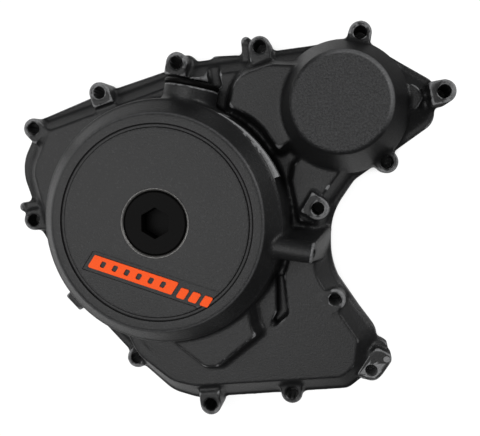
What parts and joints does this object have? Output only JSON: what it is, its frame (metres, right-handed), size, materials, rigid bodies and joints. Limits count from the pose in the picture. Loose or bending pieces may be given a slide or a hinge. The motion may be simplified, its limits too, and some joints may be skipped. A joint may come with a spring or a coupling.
{
  "type": "motorcycle stator cover",
  "caption": "Die-cast crankcase cover over a motorcycle's generator, with round bulges for the rotor and starter gear, stepped plateaus, bolt bosses round its flange and two screw plugs.",
  "frame": {"origin": "crankshaft axis on the gasket plane", "axes": "+Z out of the engine, square to the gasket face; +X forward of the crankshaft towards the sprocket cut-out; +Y up"},
  "size_m": [0.2447, 0.2151, 0.0514],
  "materials": {
    "cast_paint": "die-cast aluminium under satin graphite paint",
    "black_plug": "turned aluminium, anodised black, satin",
    "ring_rubber": "smooth nitrile rubber",
    "orange_plastic": "orange moulded plastic"
  },
  "bodies": {
    "root": {"cover_casting": "cast_paint", "crank_plug": "black_plug", "timing_plug": "black_plug", "crank_plug_ring": "ring_rubber", "timing_plug_ring": "ring_rubber", "orange_inlay": "orange_plastic"}
  },
  "joints": []
}
